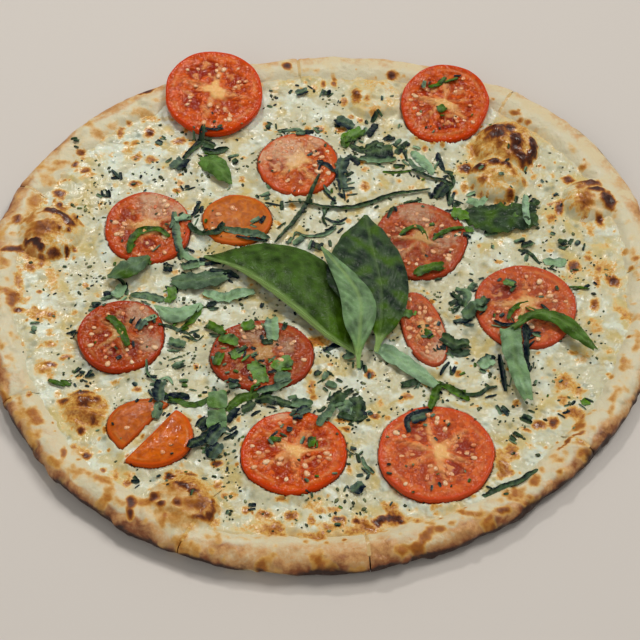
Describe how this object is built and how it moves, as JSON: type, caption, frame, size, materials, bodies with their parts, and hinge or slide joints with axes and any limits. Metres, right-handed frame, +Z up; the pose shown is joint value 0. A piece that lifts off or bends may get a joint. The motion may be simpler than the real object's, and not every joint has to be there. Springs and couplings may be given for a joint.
{
  "type": "pizza",
  "caption": "Round cheese pizza with a raised browned rim, tomato slices, shredded basil and a fresh basil sprig, cut into slices that stay together.",
  "frame": {"origin": "the middle of the pizza's outline, on its flat underside", "axes": "+Z up from the underside, +Y towards the far rim where two tomato slices lie on the crust, +X to the right"},
  "size_m": [0.3617, 0.348, 0.0208],
  "materials": {
    "crust": "matte baked dough",
    "cheese": "satin melted cheese",
    "tomato": "wet cut tomato",
    "basil": "satin leaf"
  },
  "bodies": {
    "root": {"dough_slice_1": "crust", "dough_slice_2": "crust", "dough_slice_3": "crust", "dough_slice_4": "crust", "dough_slice_5": "crust", "dough_slice_6": "crust", "dough_slice_7": "crust", "dough_slice_8": "crust", "cheese_slice_1": "cheese", "cheese_slice_2": "cheese", "cheese_slice_3": "cheese", "cheese_slice_4": "cheese", "cheese_slice_5": "cheese", "cheese_slice_6": "cheese", "cheese_slice_7": "cheese", "cheese_slice_8": "cheese", "tomato_slice_1": "tomato", "tomato_slice_2": "tomato", "tomato_slice_3": "tomato", "tomato_slice_4": "tomato", "tomato_slice_5": "tomato", "tomato_slice_6": "tomato", "tomato_slice_7": "tomato", "tomato_slice_8": "tomato", "tomato_slice_9": "tomato", "tomato_slice_10": "tomato", "tomato_slice_11": "tomato", "tomato_slice_12": "tomato", "tomato_wedge_1": "tomato", "tomato_wedge_2": "tomato", "basil_leaf_1": "basil", "basil_leaf_2": "basil", "basil_leaf_3": "basil", "basil_piece_1": "basil", "basil_piece_2": "basil", "basil_piece_3": "basil", "basil_piece_4": "basil", "basil_piece_5": "basil", "basil_piece_6": "basil", "basil_piece_7": "basil", "basil_piece_8": "basil", "basil_piece_9": "basil", "basil_piece_10": "basil"}
  },
  "joints": []
}
